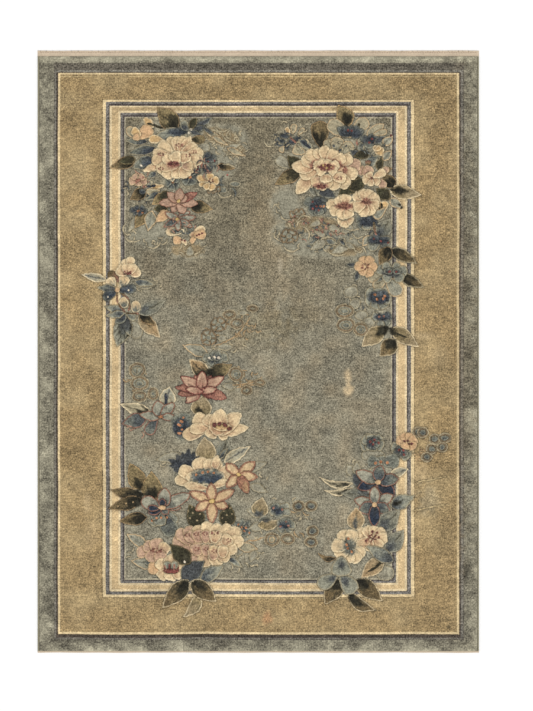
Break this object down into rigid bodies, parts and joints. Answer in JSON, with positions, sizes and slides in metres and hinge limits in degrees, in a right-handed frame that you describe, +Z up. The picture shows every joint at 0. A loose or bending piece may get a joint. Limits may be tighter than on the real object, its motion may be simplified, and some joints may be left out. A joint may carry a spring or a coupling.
{
  "type": "silk rug",
  "caption": "Flat rectangular silk pile rug with carved borders and raised flower sprays, woven end bands and wrapped side cords.",
  "frame": {"origin": "middle of the rug's flat back, on the surface that it lies on", "axes": "+Z up out of the pile, +Y along the rug towards its head end, which is the upper end in the picture, +X to the right when the rug is seen from above with its head end up"},
  "size_m": [1.22, 1.665, 0.01],
  "materials": {
    "pile": "sheared silk pile, soft low sheen, carved outlines",
    "webbing": "flat woven undyed band with a brown stitched thread",
    "selvedge": "cord wrapped in grey-green silk thread"
  },
  "bodies": {
    "root": {"carpet": "pile", "head_webbing": "webbing", "foot_webbing": "webbing", "left_selvedge": "selvedge", "right_selvedge": "selvedge"}
  },
  "joints": []
}
